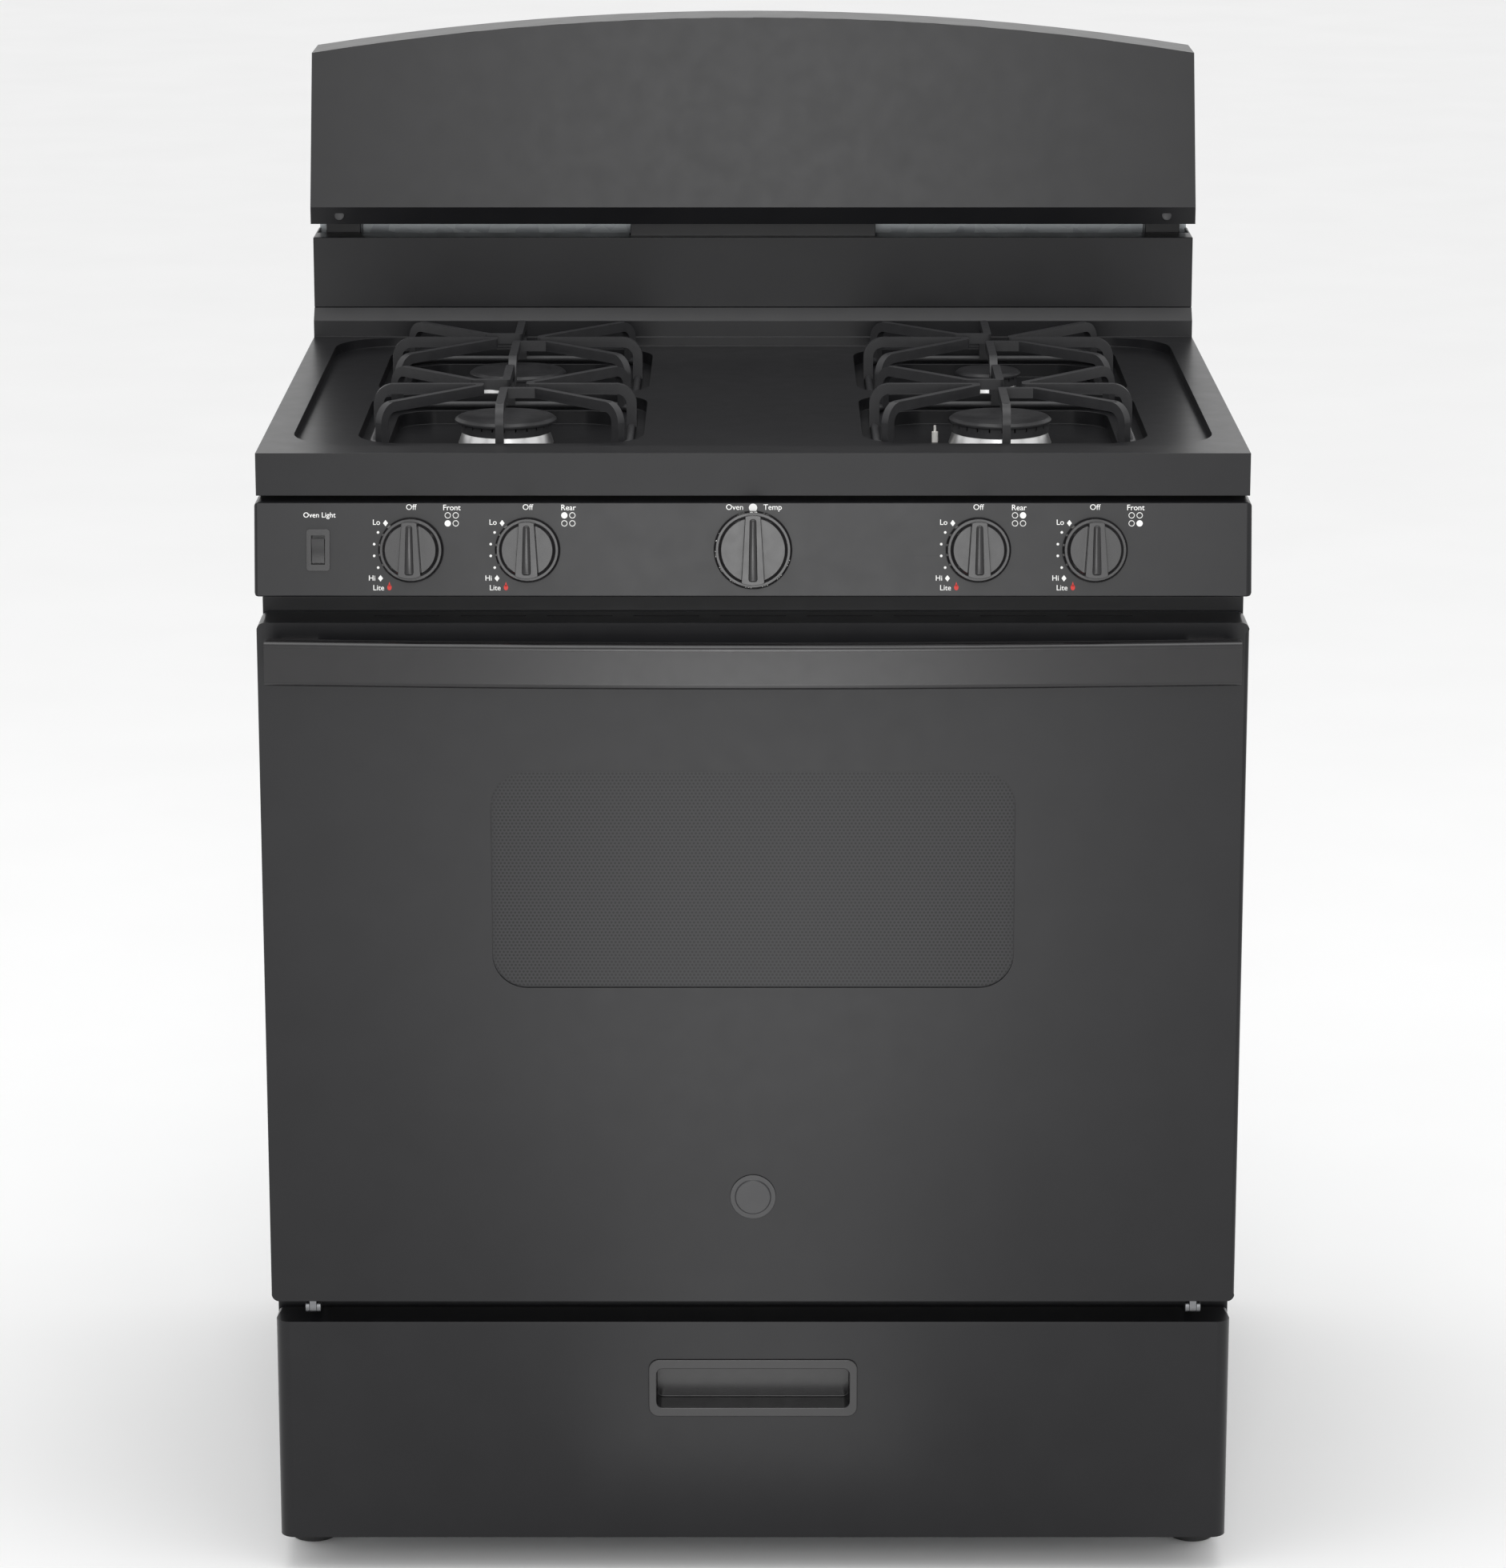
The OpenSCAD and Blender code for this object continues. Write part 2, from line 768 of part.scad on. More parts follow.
module switch_bezel() {
    color([0.07, 0.07, 0.07]) on_panel(switch_x) difference() {
        union() {
            linear_extrude(2)
                rounded(18, 32, 2.5);
            translate([0, 0, -14])
                linear_extrude(14)
                    square([13, 25], center = true);
        }
        translate([0, 0, -10])
            linear_extrude(20)
                square([10.5, 22], center = true);
        translate([0, 0, -2])
            rotate([0, 90, 0])
                cylinder(r = rocker_pin + fit, h = 12.6, center = true);
    }
}

module oven_light_rocker() {
    color([0.09, 0.09, 0.09]) on_panel(switch_x)
        translate([0, 0, -2])
            rotate([rocker_tilt, 0, 0]) {
                rotate([0, 90, 0])
                    linear_extrude(9.8, center = true)
                        polygon([[-4.6, -9.4], [-3.2, 0], [-4.6, 9.4], [5, 5], [5, -5]]);
                rotate([0, 90, 0])
                    cylinder(r = rocker_pin, h = 12, center = true);
            }
}

// Knob with a tapered grip, standing clear of the panel by its travel
module knob(x, d) {
    z0 = push + 0.5;
    skirt = 4.5;
    face = d / 2 - 3.6;
    color([0.09, 0.09, 0.09]) on_panel(x) difference() {
        union() {
            translate([0, 0, z0])
                cylinder(r1 = d / 2, r2 = d / 2 - 1.5, h = skirt);
            translate([0, 0, z0 + skirt])
                cylinder(r1 = face, r2 = face - 2, h = 5);
            intersection() {
                translate([0, 0, z0])
                    cylinder(r = face, h = knob_h - z0);
                translate([0, 0, z0])
                    linear_extrude(knob_h - z0)
                        polygon([[-5.5, d / 2], [5.5, d / 2], [9, -d / 2], [-9, -d / 2]]);
            }
        }
        translate([0, 0, -1])
            cylinder(r = stem_r + fit, h = stem_out + 2);
    }
}
stem_out = 14;

module stem(x) {
    color([0.75, 0.75, 0.76]) on_panel(x)
        translate([0, 0, -stem_in])
            cylinder(r = stem_r, h = stem_in + stem_out);
}

// ---- backguard ----

module guard_outline(inset = 0) {
    rise = top_z - guard_z;
    arch_r = (half_w * half_w + arch_rise * arch_rise) / (2 * arch_rise);
    intersection() {
        polygon([[-half_w + inset, guard_z], [half_w - inset, guard_z],
                 [half_w - guard_taper - inset, guard_z + rise],
                 [-half_w + guard_taper + inset, guard_z + rise]]);
        translate([0, top_z - arch_r])
            circle(arch_r - inset, $fn = 720);
    }
}

function guard_profile(back, behind = 0) = [
    [guard_y + 4 + behind, guard_z], [guard_y + behind, guard_z + guard_lip],
    [guard_y + guard_lean + behind, top_z], [back, top_z], [back, guard_z]];

module backguard_front() {
    color([0.14, 0.14, 0.15]) intersection() {
        facing(guard_y - 1, wall_y)
            guard_outline();
        along_x(-half_w, half_w)
            polygon([[guard_y + 4, guard_z], [guard_y, guard_z + guard_lip],
                     [guard_y + guard_lean, top_z], [guard_y + guard_lean + guard_skin, top_z],
                     [guard_y + guard_skin, guard_z + guard_lip],
                     [guard_y + 4 + guard_skin, guard_z]]);
    }
}

module backguard_shell() {
    color([0.14, 0.14, 0.15]) difference() {
        intersection() {
            facing(guard_y - 1, wall_y)
                guard_outline();
            along_x(-half_w, half_w)
                polygon(guard_profile(wall_y, guard_skin));
        }
        intersection() {
            facing(guard_y - 1, wall_y - 2)
                guard_outline(2);
            along_x(-half_w, half_w)
                polygon(guard_profile(wall_y - 2, guard_skin - 1));
        }
        span([-half_w + 2, guard_y + 20, guard_z - 1], [half_w - 2, wall_y - 2, guard_z + 4]);
    }
}

module lower_back_panel() {
    z0 = rim_z + 24;
    y0 = riser_y + 10;
    x = half_w - 1;
    color([0.14, 0.14, 0.15]) {
        difference() {
            union() {
                span([-x, y0, z0], [x, y0 + 2, back_panel_z]);
                span([-x, y0, back_panel_z - 2], [x, y0 + 30, back_panel_z]);
                both()
                    span([x - 2, y0, z0], [x, rear_y, back_panel_z]);
            }
            span([-flue_x - clear, flue_y[0] - clear, back_panel_z - 10],
                 [flue_x + clear, wall_y, back_panel_z + 10]);
        }
        // struts that carry the backguard
        both()
            span([half_w - 40, y0 + 32, z0], [half_w - 10, rear_y, guard_z + 4]);
        both()
            span([half_w - 40, rear_y - 30, guard_z], [half_w - 10, wall_y - 2, guard_z + 90]);
        both()
            span([half_w - 12, y0 + 40, z0], [x - 1, y0 + 50, z0 + 20]);
    }
}

// ---- door ----

module door_outline(inset) {
    translate([0, (door_z0 + door_z1) / 2])
        rounded(2 * (half_w - 1 - inset), door_h - 2 * inset, 6 - inset);
}

module door_outer_panel() {
    t = 2;
    color([0.14, 0.14, 0.15]) difference() {
        facing(door_y, door_back_y - 2)
            door_outline(0);
        facing(door_y + t, door_back_y)
            door_outline(t);
        translate([0, 0, window_z])
            facing(door_y - 1, door_y + 4)
                rounded(window_w, window_h, 27);
        // air slots in the top edge
        for (i = [-4:4])
            translate([i * 66.7, door_y + 26, door_z1])
                linear_extrude(10, center = true)
                    rounded(51, 2.6, 1.2);
        both()
            span([hinge_x - 4, door_y + t, door_z0 - 1], [hinge_x + 4, door_y + 20, door_z0 + 4]);
    }
}

module door_window_glass() {
    color([0.05, 0.05, 0.06, 0.8])
        translate([0, 0, window_z])
            facing(door_y + 2, door_y + 6)
                rounded(window_w + 24, window_h + 24, 8);
}

module door_inner_panel() {
    color([0.2, 0.21, 0.24]) difference() {
        union() {
            facing(door_back_y - 2, door_back_y)
                door_outline(0);
            // box section round the window, between the two glasses
            translate([0, 0, window_z])
                facing(door_y + 6, door_back_y - 2) difference() {
                    rounded(window_w + 24, window_h + 24, 8);
                    rounded(window_w + 20, window_h + 20, 7);
                }
        }
        translate([0, 0, window_z])
            facing(door_back_y - 5, door_back_y + 1)
                rounded(window_w - 40, window_h - 20, 12);
    }
}

module door_inner_glass() {
    color([0.3, 0.32, 0.32, 0.5])
        translate([0, 0, window_z])
            facing(door_back_y - 6, door_back_y - 2)
                rounded(window_w + 16, window_h + 16, 6);
}

module door_gasket() {
    color([0.25, 0.25, 0.25]) facing(door_back_y, body_y - 0.6) difference() {
        translate([0, (oven_z0 + oven_z1) / 2])
            rounded(oven_w + 36, oven_h + 36, 20);
        translate([0, (oven_z0 + oven_z1) / 2])
            rounded(oven_w + 20, oven_h + 20, 14);
    }
}

module door_handle() {
    hx = half_w - 9.5;
    bow_r = (hx * hx + handle_bow * handle_bow) / (2 * handle_bow);
    sweep = asin(hx / bow_r);
    z = door_z1 - 24.5;
    color([0.09, 0.09, 0.09]) {
        translate([0, front_y + bow_r, z])
            rotate([0, 0, 270 - sweep])
                rotate_extrude(angle = 2 * sweep, $fn = 1440)
                    translate([bow_r - handle_t / 2, 0])
                        rounded(handle_t, handle_h, 5);
        both()
            translate([hx - 24, 0, z])
                facing(front_y + handle_bow + 6, door_y)
                    rounded(34, handle_h - 9, 5);
    }
}

module door_hinge_arms() {
    w = knuckle_w / 2;
    color([0.55, 0.55, 0.56]) both() difference() {
        union() {
            translate([hinge_x, hinge_y, hinge_z])
                rotate([0, 90, 0])
                    cylinder(r = knuckle_r, h = knuckle_w, center = true);
            span([hinge_x - w, hinge_y - knuckle_r, hinge_z],
                 [hinge_x + w, hinge_y + knuckle_r, hinge_z + 190]);
            span([hinge_x - w, hinge_y, hinge_z + 60], [hinge_x + w, door_back_y - 2, hinge_z + 190]);
        }
        translate([hinge_x, hinge_y, hinge_z])
            rotate([0, 90, 0])
                cylinder(r = hinge_pin_r + fit, h = 20, center = true);
    }
}

module hinge_receivers() {
    inner = knuckle_w / 2 + gap;
    color([0.5, 0.5, 0.51]) both() {
        for (s = [-1, 1])
            translate([hinge_x + s * (inner + cheek_t / 2), 0, 0]) {
                span([-cheek_t / 2, hinge_y, hinge_z - 5], [cheek_t / 2, frame_y + 80, hinge_z + 5]);
                translate([0, hinge_y, hinge_z])
                    rotate([0, 90, 0])
                        cylinder(r = 5, h = cheek_t, center = true);
            }
        translate([hinge_x, hinge_y, hinge_z])
            rotate([0, 90, 0])
                cylinder(r = hinge_pin_r, h = 2 * (inner + cheek_t), center = true);
        span([hinge_x - inner - cheek_t, frame_y + 30, hinge_z - 5],
             [hinge_x + inner + cheek_t, frame_y + 80, hinge_z - 2]);
        // plate screwed behind the frame
        difference() {
            span([hinge_x - 22, frame_y, hinge_z - 9], [hinge_x + 12, frame_y + 2, hinge_z + 16]);
            span([hinge_x - inner, frame_y - 1, hinge_z - 5.5],
                 [hinge_x + inner, frame_y + 3, hinge_z + 5.5]);
        }
    }
}

module door_badge() {
    color([0.3, 0.3, 0.31])
        translate([0, door_y, door_z0 + 87])
            rotate([90, 0, 0]) {
                cylinder(r = 18, h = 1.2);
                cylinder(r1 = 15, r2 = 13.5, h = 2);
            }
}

// ---- drawer ----

module drawer_plan(inset) {
    depth = drawer_back_y - drawer_y;
    difference() {
        translate([0, (drawer_y + drawer_back_y) / 2 + 20 - inset / 2])
            rounded(2 * (drawer_x - inset), depth + 40 - inset, 12 - inset);
        translate([-half_w, drawer_back_y])
            square([range_w, 200]);
    }
}

module drawer_front() {
    color([0.14, 0.14, 0.15]) difference() {
        translate([0, 0, leg_h])
            linear_extrude(drawer_h)
                drawer_plan(0);
        translate([0, 2, leg_h + 2])
            linear_extrude(drawer_h - 4)
                drawer_plan(2);
        translate([0, 0, leg_h])
            span([-drawer_x + 2, drawer_back_y - 3, 2], [drawer_x - 2, drawer_back_y + 1, drawer_h - 2]);
        translate([0, 0, pull_z])
            facing(drawer_y - 1, drawer_y + 6)
                rounded(pull_w - 6 + 2 * clear, pull_h - 6 + 2 * clear, 5);
    }
}

module drawer_pull() {
    color([0.1, 0.1, 0.1]) translate([0, 0, pull_z]) difference() {
        union() {
            facing(drawer_y - 1.5, drawer_y)
                rounded(pull_w, pull_h, 8);
            facing(drawer_y, drawer_y + 26)
                rounded(pull_w - 6, pull_h - 6, 5);
        }
        facing(drawer_y - 2, drawer_y + 24)
            rounded(pull_w - 12.4, pull_h - 15, 5);
    }
}

module drawer_box() {
    t = sheet;
    z = drawer_box_z;
    color([0.35, 0.35, 0.36]) {
        span([-drawer_x + 6, drawer_back_y, leg_h + 5], [drawer_x - 6, drawer_back_y + t, drawer_top - 5]);
        difference() {
            span([-drawer_box_x, drawer_back_y + t, z[0]],
                 [drawer_box_x, drawer_back_y + drawer_depth, z[1]]);
            span([-drawer_box_x + t, drawer_back_y + t + eps, z[0] + t],
                 [drawer_box_x - t, drawer_back_y + drawer_depth - t, z[1] + 1]);
        }
        both()
            span([drawer_box_x - eps, drawer_back_y + 8, shelf_z + gap],
                 [drawer_box_x + 14, drawer_back_y + drawer_depth, shelf_z + gap + 2]);
    }
}

module drawer_rails() {
    x = side_x - sheet;
    color([0.5, 0.5, 0.51]) both() {
        span([drawer_box_x + 3, frame_y + 4, shelf_z - 2], [x, rear_y - 20, shelf_z]);
        span([x - 2, frame_y + 4, shelf_z - 2], [x, rear_y - 20, shelf_z + 20]);
    }
}

// ---- racks ----

module oven_rack(z) {
    y0 = frame_y + 14;
    y1 = oven_y1 - 24;
    wires = 15;
    color([0.75, 0.75, 0.76]) {
        both()
            translate([rack_x, y0, z])
                rotate([-90, 0, 0])
                    cylinder(r = rack_r, h = y1 - y0);
        for (y = [y0, y1])
            translate([0, y, z])
                rotate([0, 90, 0])
                    cylinder(r = rack_r, h = 2 * rack_x + 2 * rack_r, center = true);
        for (i = [1:wires])
            translate([-rack_x + i * 2 * rack_x / (wires + 1), y0, z])
                rotate([-90, 0, 0])
                    cylinder(r = 2, h = y1 - y0);
    }
}

side_panels();
rear_panel();
base_frame();
front_frame();
oven_liner();
oven_insulation();
oven_floor_panel();
oven_burner();
oven_lamp();
oven_flue();
cooktop();
burner_bases();
burner_heads();
spark_electrodes();
burner_tubes();
gas_manifold();
gas_valves();
oven_thermostat();
gas_regulator();
spark_module();
control_panel();
switch_bezel();
oven_light_rocker();
backguard_front();
backguard_shell();
lower_back_panel();
hinge_receivers();
drawer_rails();
levelling_legs();
door_outer_panel();
door_window_glass();
door_inner_panel();
door_inner_glass();
door_gasket();
door_handle();
door_hinge_arms();
door_badge();
drawer_front();
drawer_pull();
drawer_box();
knob(knob_x[0], knob_d);  // knob_left_front
knob(knob_x[1], knob_d);  // knob_left_rear
knob(knob_x[2], knob_d);  // knob_right_rear
knob(knob_x[3], knob_d);  // knob_right_front
knob(0, oven_knob_d);  // knob_oven
stem(knob_x[0]);  // stem_left_front
stem(knob_x[1]);  // stem_left_rear
stem(knob_x[2]);  // stem_right_rear
stem(knob_x[3]);  // stem_right_front
stem(0);  // stem_oven
grate(0);  // grate_left_front
grate(1);  // grate_left_rear
grate(2);  // grate_right_rear
grate(3);  // grate_right_front
cap(0);  // cap_left_front
cap(1);  // cap_left_rear
cap(2);  // cap_right_rear
cap(3);  // cap_right_front
oven_rack(rack_z[0]);  // oven_rack_lower
oven_rack(rack_z[1]);  // oven_rack_upper
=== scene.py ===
import json
import math

import bpy
from mathutils import Matrix, Vector


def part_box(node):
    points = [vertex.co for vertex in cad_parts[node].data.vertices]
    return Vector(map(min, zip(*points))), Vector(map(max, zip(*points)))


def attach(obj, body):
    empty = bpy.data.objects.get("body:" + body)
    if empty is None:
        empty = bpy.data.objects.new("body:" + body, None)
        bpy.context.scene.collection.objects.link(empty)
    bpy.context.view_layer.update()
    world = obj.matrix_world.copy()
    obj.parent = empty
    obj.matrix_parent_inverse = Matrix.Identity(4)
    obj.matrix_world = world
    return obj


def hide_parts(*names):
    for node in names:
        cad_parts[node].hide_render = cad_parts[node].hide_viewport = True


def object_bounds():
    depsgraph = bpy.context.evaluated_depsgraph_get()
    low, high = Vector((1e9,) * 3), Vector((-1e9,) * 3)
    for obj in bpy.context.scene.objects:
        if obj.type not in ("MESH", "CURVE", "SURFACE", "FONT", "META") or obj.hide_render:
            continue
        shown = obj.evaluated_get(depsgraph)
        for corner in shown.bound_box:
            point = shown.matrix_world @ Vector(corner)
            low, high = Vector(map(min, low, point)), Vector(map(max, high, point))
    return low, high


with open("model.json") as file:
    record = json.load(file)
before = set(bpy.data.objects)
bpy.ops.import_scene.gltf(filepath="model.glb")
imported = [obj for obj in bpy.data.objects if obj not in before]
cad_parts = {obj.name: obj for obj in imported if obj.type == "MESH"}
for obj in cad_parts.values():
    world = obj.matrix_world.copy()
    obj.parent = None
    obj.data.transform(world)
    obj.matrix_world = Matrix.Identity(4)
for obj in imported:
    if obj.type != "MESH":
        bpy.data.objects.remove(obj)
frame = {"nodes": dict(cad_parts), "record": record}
cad_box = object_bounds()
bpy.ops.object.select_all(action="DESELECT")

MM = 0.001
nodes = frame["nodes"]
joints = {j["name"]: j for j in frame["record"]["behaviour"]["joints"]}
body_of_node = {
    node: body
    for body, names in frame["record"]["behaviour"]["bodies"].items()
    for node in names
}


# ---- camera, floor and light ----

EYE_STAND_OFF = 3.91    # from the range's foremost point to the eye
EYE_HEIGHT = 1.63
LENS_MM = 121.5
SENSOR_MM = 36
DOWNWARD_TILT = math.radians(13.9)
STRIP_HEIGHT = 0.01
FLOOR_SIZE = 30
FLOOR_DROP = 0.0005     # keeps the floor from touching the feet

def aim(piece, target):
    """Turns a camera or light so that it looks at target."""
    piece.rotation_euler = (Vector(target) - piece.location).to_track_quat("-Z", "Y").to_euler()


def add_camera():
    foremost = float(cad_box[0][1])
    eye = Vector((0, foremost - EYE_STAND_OFF, EYE_HEIGHT))
    bpy.ops.object.camera_add(location=eye)
    camera = bpy.context.object
    camera.name = "main_camera"
    camera.data.sensor_width = SENSOR_MM
    camera.data.lens = LENS_MM
    camera.data.clip_end = 50
    aim(camera, eye + Vector((0, math.cos(DOWNWARD_TILT), -math.sin(DOWNWARD_TILT))))
    bpy.context.scene.camera = camera


def add_area(name, place, target, size, watts):
    bpy.ops.object.light_add(type="AREA", location=place)
    light = bpy.context.object
    light.name = name
    light.data.shape = "RECTANGLE"
    light.data.size, light.data.size_y = size
    light.data.energy = watts
    aim(light, target)


def add_studio():
    world = bpy.data.worlds.new("studio")
    world.use_nodes = True
    world.node_tree.nodes["Background"].inputs["Color"].default_value = (1, 1, 1, 1)
    world.node_tree.nodes["Background"].inputs["Strength"].default_value = 0.95
    bpy.context.scene.world = world
    bpy.context.scene.view_settings.view_transform = "Standard"
    add_area("front_box", (0, -4.6, 1.9), (0, 0, 0.75), (0.9, 2.4), 45)
    add_area("top_box", (0, -0.6, 3.4), (0, 0, 0.9), (2.6, 1.6), 30)
    # strips that lie in front of the range and shine up, reflected down the middle of its front
    for name, y, size, watts in (("near_strip", -1.0, (0.26, 1.0), 1.1),
                                 ("middle_strip", -2.0, (0.5, 1.0), 5.5),
                                 ("far_strip", -3.4, (0.9, 1.7), 17)):
        add_area(name, (0, y, STRIP_HEIGHT), (0, y, 1), size, watts)
    bpy.ops.mesh.primitive_plane_add(size=FLOOR_SIZE, location=(0, 0, -FLOOR_DROP))
    floor = bpy.context.object
    floor.name = "floor"
    floor.data.materials.append(plaster_floor())


# ---- materials ----

def srgb(code):
    """A hex colour as linear RGBA."""
    parts = [int(code[i:i + 2], 16) / 255 for i in (1, 3, 5)]
    line = [c / 12.92 if c <= 0.04045 else ((c + 0.055) / 1.055) ** 2.4 for c in parts]
    return (*line, 1.0)


class Finish:
    """A material under construction: its node tree and its shader."""

    def __init__(self, name, colour, roughness, metallic=0.0, **sockets):
        self.material = bpy.data.materials.new(name)
        self.material.use_nodes = True
        self.tree = self.material.node_tree
        self.shader = self.tree.nodes["Principled BSDF"]
        self.shader.inputs["Base Color"].default_value = srgb(colour)
        self.shader.inputs["Roughness"].default_value = roughness
        self.shader.inputs["Metallic"].default_value = metallic
        for socket, value in sockets.items():
            self.shader.inputs[socket.replace("_", " ")].default_value = value

    def node(self, kind, settings=None, **links):
        """Adds one node. Links name its inputs, and each is a number, a colour or a socket."""
        made = self.tree.nodes.new(kind)
        for key, value in (settings or {}).items():
            setattr(made, key, value)
        for key, value in links.items():
            socket = made.inputs[int(key[1:]) if key[0] == "i" and key[1:].isdigit() else key]
            if isinstance(value, bpy.types.NodeSocket):
                self.tree.links.new(value, socket)
            else:
                socket.default_value = value
        return made

    def place(self):
        return self.node("ShaderNodeTexCoord").outputs["Object"]

    def noise(self, size_mm, detail=2.0):
        """Noise whose blotches are about size_mm across."""
        return self.node(
            "ShaderNodeTexNoise", Vector=self.place(), Scale=1 / (size_mm * MM), Detail=detail
        ).outputs["Fac"]

    def between(self, fac, low, high):
        """Maps 0..1 to low..high."""
        return self.node("ShaderNodeMapRange", Value=fac, i3=low, i4=high).outputs["Result"]

    def blend(self, fac, one, other):
        made = self.node("ShaderNodeMix", {"data_type": "RGBA"})
        self.tree.links.new(fac, made.inputs[0])
        for socket, value in ((made.inputs[6], one), (made.inputs[7], other)):
            if isinstance(value, bpy.types.NodeSocket):
                self.tree.links.new(value, socket)
            else:
                socket.default_value = srgb(value)
        return made.outputs[2]

    def colour(self, socket):
        self.tree.links.new(socket, self.shader.inputs["Base Color"])

    def rough(self, socket):
        self.tree.links.new(socket, self.shader.inputs["Roughness"])

    def bump(self, height, depth_mm, strength=0.5):
        made = self.node("ShaderNodeBump", Height=height, Strength=strength, Distance=depth_mm * MM)
        self.tree.links.new(made.outputs["Normal"], self.shader.inputs["Normal"])


def plaster_floor():
    f = Finish("pale_plaster", "#f4f4f4", 0.9)
    f.colour(f.blend(f.noise(300), "#f2f2f2", "#f7f7f7"))
    return f.material


def porcelain_enamel(name="black_porcelain_enamel", dark="#121214", light="#19191b", gloss=0.3):
    """Vitreous enamel fired on pressed steel: deep gloss with a faint orange peel."""
    f = Finish(name, dark, gloss, IOR=1.5, Specular_IOR_Level=0.31)
    f.colour(f.blend(f.noise(40), dark, light))
    f.rough(f.between(f.noise(18), gloss - 0.02, gloss + 0.04))
    f.bump(f.noise(4, 1.0), 0.02, 0.25)
    return f.material


def speckled_enamel():
    """Blue-grey oven enamel with fine white speckle."""
    f = Finish("speckled_oven_enamel", "#23252c", 0.3)
    dots = f.node("ShaderNodeTexVoronoi", Vector=f.place(), Scale=1 / (2.2 * MM)).outputs["Distance"]
    mask = f.node("ShaderNodeMath", {"operation": "LESS_THAN"}, i0=dots, i1=0.16).outputs[0]
    f.colour(f.blend(mask, "#1f2128", "#9a9ca2"))
    f.bump(f.noise(3, 1.0), 0.02, 0.3)
    return f.material


def matte_enamel():
    """Matte enamel over cast iron: fine grain, soft sheen, a tone that varies at random."""
    f = Finish("matte_grate_enamel", "#242426", 0.46)
    f.colour(f.blend(f.noise(9), "#1c1c1e", "#29292b"))
    f.rough(f.between(f.noise(5), 0.38, 0.54))
    f.bump(f.noise(0.9, 3.0), 0.05, 0.5)
    return f.material


def cast_head():
    """Dark sintered burner head, duller than the cap."""
    f = Finish("burner_head_coating", "#3a3a3c", 0.5, 0.35)
    f.colour(f.blend(f.noise(3), "#333335", "#454547"))
    f.bump(f.noise(0.8, 2.0), 0.04, 0.4)
    return f.material


def cast_aluminium():
    """Die-cast and tumbled aluminium: bright, faintly grainy."""
    f = Finish("die_cast_aluminium", "#e4e4e4", 0.3, 1.0)
    f.rough(f.between(f.noise(2), 0.24, 0.38))
    f.bump(f.noise(0.7, 2.0), 0.02, 0.3)
    return f.material


def drawn_steel(name, colour, roughness):
    """Cold rolled steel with a lengthwise grain."""
    f = Finish(name, colour, roughness, 1.0)
    stretch = f.node("ShaderNodeMapping", Vector=f.place(), Scale=(1, 30, 30)).outputs[0]
    grain = f.node("ShaderNodeTexNoise", Vector=stretch, Scale=40, Detail=3.0).outputs["Fac"]
    f.rough(f.between(grain, roughness - 0.06, roughness + 0.08))
    f.bump(grain, 0.01, 0.3)
    return f.material


def galvanised_steel():
    """Hot-dip zinc: flat crystals 12 mm across, each with its own tone."""
    f = Finish("galvanised_steel", "#9fa3a6", 0.4, 0.9)
    spangle = f.node("ShaderNodeTexVoronoi", Vector=f.place(), Scale=1 / (12 * MM)).outputs["Color"]
    tone = f.node("ShaderNodeRGBToBW", Color=spangle).outputs[0]
    f.colour(f.blend(tone, "#8d9194", "#b4b8ba"))
    f.rough(f.between(tone, 0.3, 0.5))
    return f.material


def moulded_plastic(name, dark, light, roughness):
    """Injection-moulded plastic, polished, with faint flow variation."""
    f = Finish(name, dark, roughness, IOR=1.5)
    f.colour(f.blend(f.noise(15), dark, light))
    f.rough(f.between(f.noise(8), roughness - 0.03, roughness + 0.05))
    f.bump(f.noise(1.2, 2.0), 0.01, 0.3)
    return f.material


def screened_glass():
    """Float glass with a printed dot screen on its back, dots 3.05 mm apart in a triangle grid."""
    pitch = 3.05 * MM
    f = Finish("dot_screen_glass", "#0c0c0d", 0.3, IOR=1.52, Specular_IOR_Level=0.25)
    split = f.node("ShaderNodeSeparateXYZ", Vector=f.place())

    def grid(shift):
        parts = []
        for axis, step in (("X", pitch), ("Z", pitch * math.sqrt(3))):
            moved = f.node("ShaderNodeMath", {"operation": "MULTIPLY_ADD"},
                           i0=split.outputs[axis], i1=1 / step, i2=shift).outputs[0]
            part = f.node("ShaderNodeMath", {"operation": "FRACT"}, i0=moved).outputs[0]
            centred = f.node("ShaderNodeMath", {"operation": "SUBTRACT"}, i0=part, i1=0.5).outputs[0]
            parts.append(f.node("ShaderNodeMath", {"operation": "MULTIPLY"},
                                i0=centred, i1=step / pitch).outputs[0])
        flat = f.node("ShaderNodeCombineXYZ", X=parts[0], Y=parts[1])
        length = f.node("ShaderNodeVectorMath", {"operation": "LENGTH"}, i0=flat.outputs[0])
        return length.outputs["Value"]

    near = f.node("ShaderNodeMath", {"operation": "MINIMUM"}, i0=grid(0.0), i1=grid(0.5)).outputs[0]
    mask = f.node("ShaderNodeMath", {"operation": "LESS_THAN"}, i0=near, i1=0.3).outputs[0]
    f.colour(f.blend(mask, "#242426", "#0a0a0b"))
    return f.material


def clear_glass():
    f = Finish("clear_glass", "#dfe6e4", 0.05, IOR=1.5)
    f.shader.inputs["Transmission Weight"].default_value = 0.9
    f.rough(f.between(f.noise(60), 0.03, 0.08))
    return f.material


def glass_fibre():
    """Needled glass fibre blanket."""
    f = Finish("glass_fibre_blanket", "#d9cf9a", 0.95)
    f.colour(f.blend(f.noise(14, 4.0), "#cabf86", "#e6dfb4"))
    f.bump(f.noise(6, 5.0), 1.5, 0.8)
    return f.material


